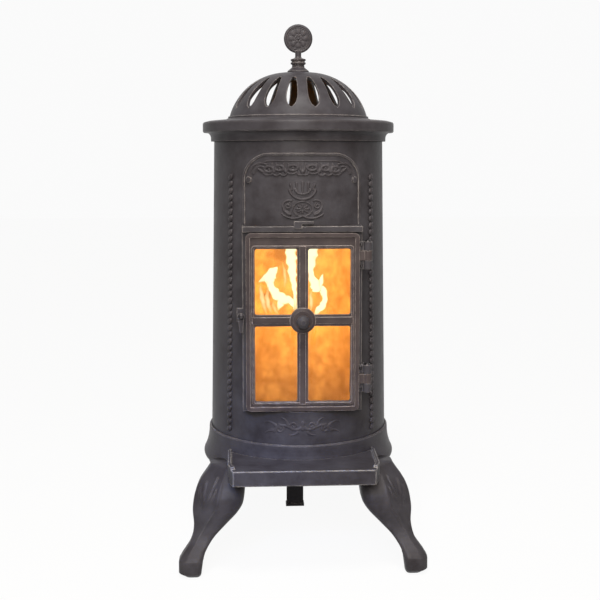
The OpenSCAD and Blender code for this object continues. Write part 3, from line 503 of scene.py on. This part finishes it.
column_patch("arch_garland", 88, 617, 652, garland, 8.0)
column_patch("arch_inner_line", 84, 618, 652, arch_inner_line, 7.6, 1.02)
column_patch("shell_and_cartouche", 38, 555, 616, shell_and_cartouche, 11, 0.99)
column_patch("hearth_scrolls", 63, 203, 240, hearth_scrolls, 8.3)


def bead_row(name, side, angle=51.5, low=215.4, pitch=11.24, count=38):
    """A row of full, slanted beads up the column, each a small closed ovoid.

    A bead is a sphere stretched along an axis that leans 40 degrees from upright and a
    little slimmer at its upper end. A third of its depth is sunk into the column, and
    neighbours all but touch.
    """
    half_long, half_wide, half_deep, proud = 6.2, 4.4, 3.3, 0.9
    lean, mean_r = math.radians(40), 149
    rise = np.linspace(-90, 90, 9)[1:-1]
    turn = np.linspace(0, 360, 14, endpoint=False)
    v, u = np.meshgrid(np.radians(rise), np.radians(turn), indexing="ij")
    long = np.concatenate([np.sin(v).ravel(), [-1, 1]]) * half_long
    wide = np.concatenate([(np.cos(v) * np.cos(u)).ravel(), [0, 0]])
    wide = wide * (half_wide - 0.08 * long)
    deep = np.concatenate([(np.cos(v) * np.sin(u)).ravel(), [0, 0]]) * half_deep
    across = wide * math.cos(lean) + long * math.sin(lean)
    up = long * math.cos(lean) - wide * math.sin(lean)
    z = low + pitch * np.arange(count)[:, None] + up
    r = column_r(z) + deep + proud
    a = math.radians(angle * side) + across / mean_r
    points = np.stack([r * np.sin(a), -r * np.cos(a), z], -1)
    one = tube_faces(len(rise), len(turn))
    step = len(long)
    faces = [[k + i * step for k in face[::-1]] for i in range(count) for face in one]
    return mesh_piece(name, "stove", fine_iron, points.reshape(-1, 3), faces)


bead_row("bead_row_left", -1)
bead_row("bead_row_right", 1)


def rosette(name, side):
    """Eight-petalled rosette on the medallion: height over the disc by radius and turn.

    Its back lies inside the disc and is a little smaller.
    """
    r = np.linspace(0.4, 19.2, 34)[:, None]
    a = np.linspace(0, 2 * np.pi, 145)[None, :-1]
    petal = np.abs(np.cos(4 * a)) ** 0.5
    outer = 1.5 * np.clip(1 - ((r - 11.5) / (5.6 * petal + 0.6)) ** 2, -0.3, 1) * petal
    inner = 1.3 * np.clip(1 - ((r - 5.2) / 2.4) ** 2, -0.3, 1) * (0.6 + 0.4 * np.abs(np.sin(4 * a)))
    eye = 2.0 * np.clip(1 - (r / 3.0) ** 2, -0.3, 1)
    rim = 1.0 * np.clip(1 - ((r - 18.2) / 0.9) ** 2, -0.3, 1)
    h = np.maximum.reduce(np.broadcast_arrays(outer, inner, eye, rim)) * 0.9
    x, z = r * np.cos(a), MEDALLION_Z + r * np.sin(a)
    front = np.stack([x * side, -side * (MEDALLION_T + h), z], -1)
    under = MEDALLION_Z + (z - MEDALLION_Z) * 0.98
    back = np.stack([x * side * 0.98, 0 * h - side * 0.9, under], -1)
    rings = np.concatenate([front, back[::-1]])
    points, faces = tube(rings[:, ::-1])
    return mesh_piece(name, "dome_lid", fine_iron, points, faces)


rosette("medallion_rosette_front", 1)
rosette("medallion_rosette_back", -1)


# ---------------------------------------------------------------- front legs
REACH = 198.5  # the foot's distance from the axis, mm
FOOT_TOP, LEG_TOP = 28, 164.5  # how high the foot's sharp edges and the leg go, mm
# Profiles of the leg: (height, distance inside its reach).
OUTER = [
    (0, 10), (7, 1), (9, 0), (25, 0), (29, 0.6), (38.4, 7.5), (50.2, 17.3), (63, 22),
    (76.6, 23.7), (95, 20.8), (108.6, 21.8), (121.5, 24.3), (137.7, 30.8), (153.6, 42.7),
    (LEG_TOP, 50),
]
INNER = [
    (0, 33), (4, 35.5), (8.5, 36), (27.7, 38.7), (38.4, 41.5), (50.2, 49.2), (61, 57.6),
    (71.8, 69.2), (83.5, 80.9), (95.2, 92.8), (108.6, 102.4), (125, 105), (LEG_TOP, 107),
]
# Half the angle that the bevel of the outward corner takes, by height.
BEVEL = [(0, 17), (FOOT_TOP, 17), (60, 21), (104, 40), (LEG_TOP, 40)]
# Strokes of the knee's leaf: (across, height).
LEAF = [
    [(-1, 103), (-3, 120), (-12, 132), (-9, 149)],
    [(1, 102), (7, 116), (5, 128), (8, 141)],
    [(-4, 110), (-16, 118), (-17, 134)],
    [(5, 108), (17, 118), (16, 130)],
]


def along(table, z):
    """Distance from the axis at height z by a leg's profile, smoothed above the foot."""
    at, inside = np.array(table).T
    near = np.interp(z, at, inside)
    below = np.interp(np.maximum(z - 5, FOOT_TOP), at, inside)
    above = np.interp(z + 5, at, inside)
    return REACH - np.where(z <= FOOT_TOP, near, (below + 2 * near + above) / 4)


def diagonal_tube(side, out, aside, z):
    """A tube whose rings lie out along a leg's diagonal and aside of it, one level each."""
    s = math.sqrt(0.5)
    rings = np.stack([side * (out * s + aside * s), -out * s + aside * s, z + 0 * aside], -1)
    return tube(rings if side > 0 else rings[:, ::-1])


def lug_block(side):
    """The bolted lug under the base ring: a flat tube of rounded squares, 40 by 33 by 9 mm."""
    t = np.linspace(0, 2 * np.pi, 48, endpoint=False)[None, :]
    grow = (np.abs(np.cos(t)) ** 8 + np.abs(np.sin(t)) ** 8) ** (-1 / 8)
    z = np.array([125.5, 126, 134, 134.5])[:, None]
    less = np.array([0.5, 0, 0, 0.5])[:, None]
    out, aside = 146.5 + (16.5 - less) * grow * np.cos(t), (20 - less) * grow * np.sin(t)
    return diagonal_tube(side, out, aside, z)


def carved_leg(name, side):
    """A cabriole leg with a bevelled outward corner and a soft leaf on its knee.

    Each level is a rounded square between the leg's outer and inner profiles, turned 45
    degrees from the front and cut flat ahead by its bevel. The crests along the bevel's
    two corners and the strokes of the leaf are added to the radius.
    """
    foot = [0, 3.5, 6.4, 7.4, 9, 25, 26.5, FOOT_TOP]
    z = np.concatenate([foot, np.linspace(29.5, LEG_TOP, 136)])[:, None]
    t = np.radians(np.linspace(-180, 180, 241)[None, :-1])
    outer, inner = along(OUTER, z), along(INNER, z)
    width, middle = (outer - inner) / math.sqrt(2), (outer + inner) / math.sqrt(2)
    bevel = np.interp(z, *np.array(BEVEL).T)
    flat = width / (1 + np.tan(np.radians(bevel)))
    u, v, ahead = np.abs(np.cos(t)), np.abs(np.sin(t)), np.cos(t) > 0
    walls = [(u + v) / width, u / np.where(ahead, flat, 0.68 * width), v / (0.86 * width)]
    size = sum(wall**16 for wall in walls) ** (-1 / 16)
    knee = np.clip((z - 40) / 60, 0, 1) * np.clip((160 - z) / 12, 0, 1)
    crest = np.exp(-(((np.abs(np.degrees(t)) - bevel) / 5) ** 2))
    crest = crest * (0.5 + 1.5 * knee) * np.clip((z - 32) / 8, 0, 1)
    across = np.where(np.abs(t) < 1, flat * np.tan(np.clip(t, -1, 1)), 60)
    up = z + 0 * t
    leaf = np.zeros(up.shape)
    for points in LEAF:
        line, wide, high = curve(*points), np.linspace(9, 4.5, 16), np.linspace(1.2, 2.8, 16)
        leaf = np.maximum(leaf, stroke(across, up, line, wide, high))
    relief = (crest * ahead + leaf) * np.clip((LEG_TOP - 1 - z) / 8, 0, 1)
    size = size + relief
    points, faces = diagonal_tube(side, middle + size * np.cos(t), size * np.sin(t), z)
    lug_points, lug_faces = lug_block(side)
    faces += [[k + len(points) for k in face] for face in lug_faces]
    points = np.concatenate([points, lug_points])
    return mesh_piece(name, "stove", cast_iron, points, faces)


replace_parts(carved_leg("left_front_leg_carved", -1), "left_front_leg")
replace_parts(carved_leg("right_front_leg_carved", 1), "right_front_leg")


# ---------------------------------------------------------------- rope seal
def rope_loop():
    """The door's rope seal: an oval tube swept round a rounded frame, plaited by a small wave."""
    half, low, high, r = 86.95, 262.8, 534.7, 4.0  # half its width, its foot, head and corner
    rope_y, pitch = -142.3, 5.0  # its depth about the axis, the length of one plait
    left, right, foot, head = r - half, half - r, low + r, high - r
    corners = [(right, head, 0), (left, head, 90), (left, foot, 180), (right, foot, 270)]
    path = np.concatenate([arc(x, z, r, r, a, a + 90, 9) for x, z, a in corners])
    path = np.concatenate([path, path[:1]])
    steps = np.concatenate([[0], np.cumsum(np.hypot(*np.diff(path, axis=0).T))])
    s = np.linspace(0, steps[-1], 1200, endpoint=False)
    x, z = np.interp(s, steps, path[:, 0]), np.interp(s, steps, path[:, 1])
    dx, dz = np.roll(x, -1) - np.roll(x, 1), np.roll(z, -1) - np.roll(z, 1)
    size = np.hypot(dx, dz)
    out_x, out_z = (dz / size)[:, None], (-dx / size)[:, None]
    v = np.linspace(0, 2 * np.pi, 16, endpoint=False)[None, :]
    u = s[:, None] * 2 * np.pi / pitch
    plait = 0.88 + 0.12 * np.abs(np.sin(u + v)) * np.abs(np.sin(u - v))
    wide, deep = 2.0 * plait * np.cos(v), 1.2 * plait * np.sin(v)
    rings = np.stack([x[:, None] + out_x * wide, rope_y + deep, z[:, None] + out_z * wide], -1)
    faces = quads(len(s), 16, around=True, along=True).tolist()
    return mesh_piece("rope_seal", "door", rope, rings.reshape(-1, 3), faces)


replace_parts(rope_loop(), "door_seal")


# ---------------------------------------------------------------- flames
def flame_tongue(name, path, flicker, flat=0.5):
    """One tongue of flame: an oval tube along a smooth line of (x, y, z, half width, heat).

    The half width swells and thins along the line by two sine waves, so its rim is ragged.
    The depth is flat times the width.
    """
    around, spacing = 20, 1.4  # points on a ring, mm from ring to ring
    keys = np.array(path, float)
    step = np.concatenate([[0], np.cumsum(np.linalg.norm(np.diff(keys[:, :3], axis=0), axis=1))])
    count = max(24, int(step[-1] / spacing))
    s = np.linspace(0, step[-1], count)
    k = np.stack([np.interp(s, step, keys[:, i]) for i in range(5)], -1)
    for _ in range(9):
        k[1:-1] = (k[:-2] + 2 * k[1:-1] + k[2:]) / 4
    way = np.gradient(k[:, :3], axis=0)
    way /= np.linalg.norm(way, axis=1)[:, None]
    aside = np.stack([way[:, 2], 0 * s, -way[:, 0]], -1)
    aside /= np.linalg.norm(aside, axis=1)[:, None]
    depth = np.cross(way, aside)
    wave = np.sin(s * 0.27 + flicker) + 0.5 * np.sin(s * 0.61 + 2.3 * flicker)
    w = (1.12 * k[:, 3] * (1 + 0.07 * wave))[:, None, None]
    centre = k[:, :3] + aside * (k[:, 3] * 0.12 * np.sin(s * 0.4 + 1.7 * flicker))[:, None]
    v = np.linspace(0, 2 * np.pi, around, endpoint=False)[None, :, None]
    oval = aside[:, None] * np.cos(v) + flat * depth[:, None] * np.sin(v)
    points, faces = tube(centre[:, None] + w * oval)
    hotness = np.concatenate([np.repeat(k[:, 4], around), [k[0, 4], k[-1, 4]]])
    return mesh_piece(name, "stove", flame, points, faces, hotness)


# Tongues and wisps by the lines in their middle: (x, y, z, half width, heat).
FLAMES = {
    "flame_left_body": [
        (-14, 4, 215, 5, 0.03), (-10, 4, 330, 5, 0.05), (-4, 3, 385, 5, 0.2), (-2, 2, 403, 6, 1),
        (-12, 1, 414, 6, 1), (-25, 0, 417, 9, 1), (-36, 0, 423, 9.5, 1), (-44, 0, 434, 6.5, 1),
        (-50, 0, 445, 7, 1), (-50, 0, 456, 11, 1), (-44, 0, 465, 9, 1), (-36, 0, 474, 0.8, 0.9),
    ],
    "flame_left_tip": [
        (-44, -1, 459, 6, 1), (-55, -1, 456, 6.5, 1), (-62, -1, 452, 4, 0.9),
        (-69, -1, 447, 0.5, 0.6),
    ],
    "flame_left_drop": [
        (-28, 0, 418, 7, 1), (-32, 0, 407, 6, 0.9), (-35, 0, 397, 0.6, 0.5),
    ],
    "flame_left_tall": [
        (-5, -3, 385, 3, 0.1), (-5, -3, 415, 2.4, 0.8), (-7, -3, 438, 4, 1), (-10, -3, 458, 6.4, 1),
        (-12, -3, 483, 8.6, 1), (-13, -3, 505, 10, 1), (-12, -3, 530, 9, 1),
        (-9, -3, 562, 0.6, 0.6),
    ],
    "flame_right_tall": [
        (30, 2, 429, 6, 1), (31, 2, 440, 11, 1), (25, 2, 452, 6, 1), (22, 2, 461, 4.8, 1),
        (22, 2, 471, 5.6, 1), (24, 2, 488, 8.6, 1), (24.5, 2, 505, 10.4, 1), (24, 2, 530, 9, 1),
        (21, 2, 564, 0.6, 0.6),
    ],
    "flame_right_spike": [
        (35, 2, 438, 7, 1), (40, 2, 449, 4.2, 1), (43, 2, 461, 0.5, 0.8),
    ],
    "flame_right_hook": [
        (18, 8, 215, 5, 0.03), (26, 8, 330, 5, 0.05), (30, 6, 388, 3, 0.4), (36, 5, 398, 6, 1),
        (43, 4, 404, 6, 1), (46.5, 4, 413, 4.6, 1), (46.5, 4, 424, 5, 1), (42, 4, 433, 7, 1),
        (34, 3, 439, 8, 1), (27, 3, 446, 3, 1),
    ],
    "flame_wisp_outer": [
        (-66, -6, 446, 0.6, 0.3), (-65, -6, 432, 3.4, 0.5), (-61, -6, 412, 4.4, 0.5),
        (-55, -6, 391, 1, 0.3),
    ],
    "flame_wisp_inner": [
        (-52, -6, 440, 0.6, 0.3), (-55, -6, 424, 3.4, 0.52), (-52, -6, 408, 4.2, 0.52),
        (-46, -6, 392, 1, 0.3),
    ],
    "flame_wisp_low": [
        (-42, -5, 418, 0.6, 0.3), (-44, -5, 408, 3, 0.46), (-40, -5, 398, 3, 0.46),
        (-33, -5, 391, 0.8, 0.3),
    ],
    "flame_wisp_middle": [
        (-24, 5, 434, 0.8, 0.3), (-22, 5, 452, 2.6, 0.5), (-24, 5, 468, 2.8, 0.46),
        (-28, 5, 484, 0.5, 0.3),
    ],
    "flame_wisp_right": [
        (21, -5, 392, 0.6, 0.3), (23, -5, 408, 3.2, 0.55), (21, -5, 424, 2.6, 0.55),
        (24, -5, 436, 0.6, 0.3),
    ],
}
for number, (title, path) in enumerate(FLAMES.items()):
    flame_tongue(title, path, 1.9 * number)


# ---------------------------------------------------------------- camera, light, floor
def at_axis(x, y, z):
    """A point in metres from millimetres about the column's axis."""
    return Vector(((AXIS + np.array([x, y, z])) / 1000).tolist())


DISTANCE, EYE_Z = 1718.2, 667  # from the axis to the camera, and the camera's height, mm
# Where the camera stands about the axis, where it looks and how far down, in degrees.
turn, heading, pitch = (math.radians(a) for a in (-2.75, 2.853, 5.742))
camera = bpy.data.objects.new("camera", bpy.data.cameras.new("camera"))
camera.location = at_axis(DISTANCE * math.sin(turn), -DISTANCE * math.cos(turn), EYE_Z)
level = math.cos(pitch)
forward = Vector((math.sin(heading) * level, math.cos(heading) * level, -math.sin(pitch)))
camera.rotation_mode = "QUATERNION"
camera.rotation_quaternion = forward.to_track_quat("-Z", "Y")
camera.data.lens, camera.data.sensor_width = 59.79, 36.0
camera.data.shift_y = -0.075
bpy.context.scene.collection.objects.link(camera)
bpy.context.scene.camera = camera


def lamp(name, kind, spot, aim, energy, tint, **settings):
    """A lamp at a point in metres, turned to look at another point.

    The camera sees no lamp, and the fire's lamps aren't mirrored either.
    """
    data = bpy.data.lights.new(name, kind)
    data.energy, data.color = energy, colour(tint)[:3]
    for key, value in settings.items():
        setattr(data, key, value)
    made = bpy.data.objects.new(name, data)
    made.location = spot
    made.rotation_mode = "QUATERNION"
    made.rotation_quaternion = (Vector(aim) - Vector(spot)).to_track_quat("-Z", "Y")
    made.visible_camera = made.visible_transmission = False
    made.visible_glossy = not name.startswith("fire")
    bpy.context.scene.collection.objects.link(made)
    return made


def softbox(name, spot, aim, energy, tint, width, height):
    """A rectangular lamp."""
    return lamp(name, "AREA", spot, aim, energy, tint, shape="RECTANGLE", size=width, size_y=height)


lamp("front_sun", "SUN", (-0.25, -1.6, 1.25), (0, 0, 0), 2.1, "FFFAF4", angle=math.radians(40))
softbox("front_softbox", (-0.12, -1.75, 1.05), (0, -0.1, 0.5), 21, "FFFAF4", 0.5, 0.5)
softbox("top_softbox", (-0.05, -0.8, 2.0), (0, -0.05, 0.5), 34, "FFFDFA", 0.5, 0.5)
glow = {"shadow_soft_size": 0.12, "spot_size": math.radians(13), "spot_blend": 1}
lamp("window_glow", "SPOT", (-0.5, -1.45, 1.1), (-0.05, -0.15, 0.19), 120, "6C9CFF", **glow)
softbox("room_lamp", (0.7, -1.6, 1.6), (0.05, -0.1, 0.45), 4, "FFD09A", 0.35, 0.35)
softbox("fire_on_liner", at_axis(0, -45, 422), at_axis(0, 120, 405), 1.25, "FFC05C", 0.11, 0.2)
low_fire, over_it = at_axis(0, -30, 400), (0, 0.02, 0.45)
lamp("fire_on_reveals", "POINT", low_fire, over_it, 0.1, "FFB65A", shadow_soft_size=0.03)

# The room lights the stove softly; what is seen past it is white.
world = bpy.data.worlds.new("studio")
bpy.context.scene.world = world
world.use_nodes = True
world.node_tree.nodes.clear()
plain = add(world, "Background", {"Color": colour("A8A8A8"), "Strength": 0.2})
white = add(world, "Background", {"Color": colour("FFFFFF"), "Strength": 0.96})
both = add(world, "MixShader", {0: seen_directly(world), 1: plain.outputs[0], 2: white.outputs[0]})
add(world, "OutputWorld", {"Surface": both.outputs[0]})

FLOOR = 9  # half the floor's width, m
floor_mesh = bpy.data.meshes.new("studio_floor")
square = [(-FLOOR, -FLOOR, 0), (FLOOR, -FLOOR, 0), (FLOOR, FLOOR, 0), (-FLOOR, FLOOR, 0)]
floor_mesh.from_pydata(square, [], [(0, 1, 2, 3)])
floor_mesh.materials.append(floor_paper())
studio_floor = bpy.data.objects.new("studio_floor", floor_mesh)
bpy.context.scene.collection.objects.link(studio_floor)

scene = bpy.context.scene
scene.view_settings.view_transform = "Standard"
